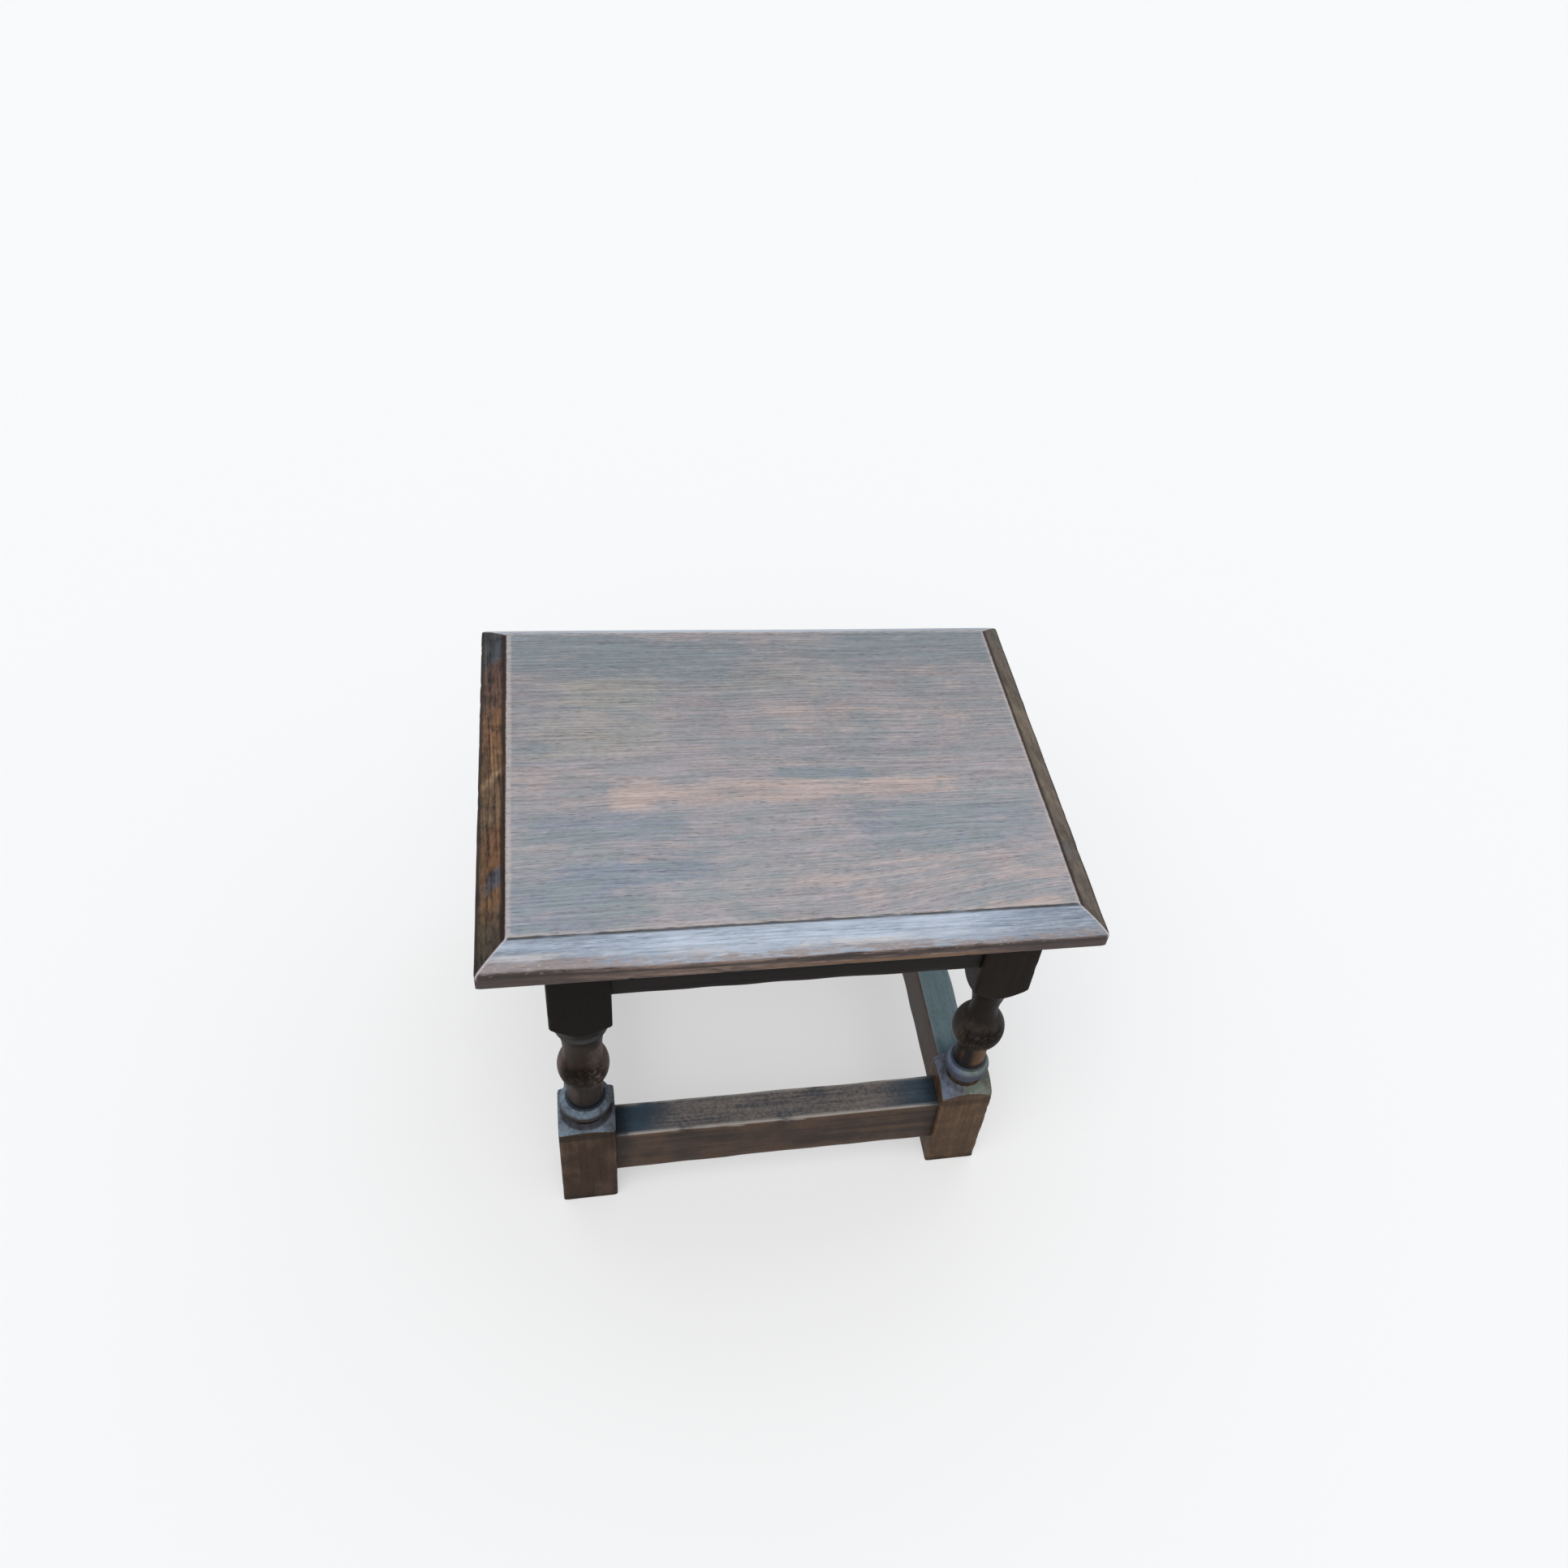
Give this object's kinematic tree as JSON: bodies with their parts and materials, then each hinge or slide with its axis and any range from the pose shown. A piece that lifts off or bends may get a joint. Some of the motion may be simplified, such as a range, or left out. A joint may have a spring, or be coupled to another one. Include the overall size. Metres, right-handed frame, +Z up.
{
  "type": "low stool",
  "caption": "Low rectangular stool with a bevel-moulded top, turned legs with square blocks, shallow aprons and box stretchers, in dark oak.",
  "frame": {"origin": "on the floor, under the middle of the top", "axes": "+Z up; +X along the top's long side, the way its grain runs; the front faces -Y"},
  "size_m": [0.38, 0.306, 0.292],
  "materials": {
    "top_board_front": "dark stained oak, waxed",
    "top_board_middle": "dark stained oak, waxed",
    "top_board_rear": "dark stained oak, waxed",
    "leg_front_left": "dark stained oak, waxed",
    "leg_front_right": "dark stained oak, waxed",
    "leg_rear_left": "dark stained oak, waxed",
    "leg_rear_right": "dark stained oak, waxed",
    "apron_front": "dark stained oak, waxed",
    "apron_rear": "dark stained oak, waxed",
    "apron_left": "dark stained oak, waxed",
    "apron_right": "dark stained oak, waxed",
    "stretcher_front": "dark stained oak, waxed",
    "stretcher_rear": "dark stained oak, waxed",
    "stretcher_left": "dark stained oak, waxed",
    "stretcher_right": "dark stained oak, waxed",
    "glue_block_front_left": "bare oak",
    "glue_block_front_right": "bare oak",
    "glue_block_rear_left": "bare oak",
    "glue_block_rear_right": "bare oak",
    "glue_block_left": "bare oak",
    "glue_block_right": "bare oak",
    "top_screws": "dull steel"
  },
  "bodies": {
    "root": {"top_board_front": "top_board_front", "top_board_middle": "top_board_middle", "top_board_rear": "top_board_rear", "leg_front_left": "leg_front_left", "leg_front_right": "leg_front_right", "leg_rear_left": "leg_rear_left", "leg_rear_right": "leg_rear_right", "apron_front": "apron_front", "apron_rear": "apron_rear", "apron_left": "apron_left", "apron_right": "apron_right", "stretcher_front": "stretcher_front", "stretcher_rear": "stretcher_rear", "stretcher_left": "stretcher_left", "stretcher_right": "stretcher_right", "glue_block_front_left": "glue_block_front_left", "glue_block_front_right": "glue_block_front_right", "glue_block_rear_left": "glue_block_rear_left", "glue_block_rear_right": "glue_block_rear_right", "glue_block_left": "glue_block_left", "glue_block_right": "glue_block_right", "top_screws": "top_screws"}
  },
  "joints": []
}
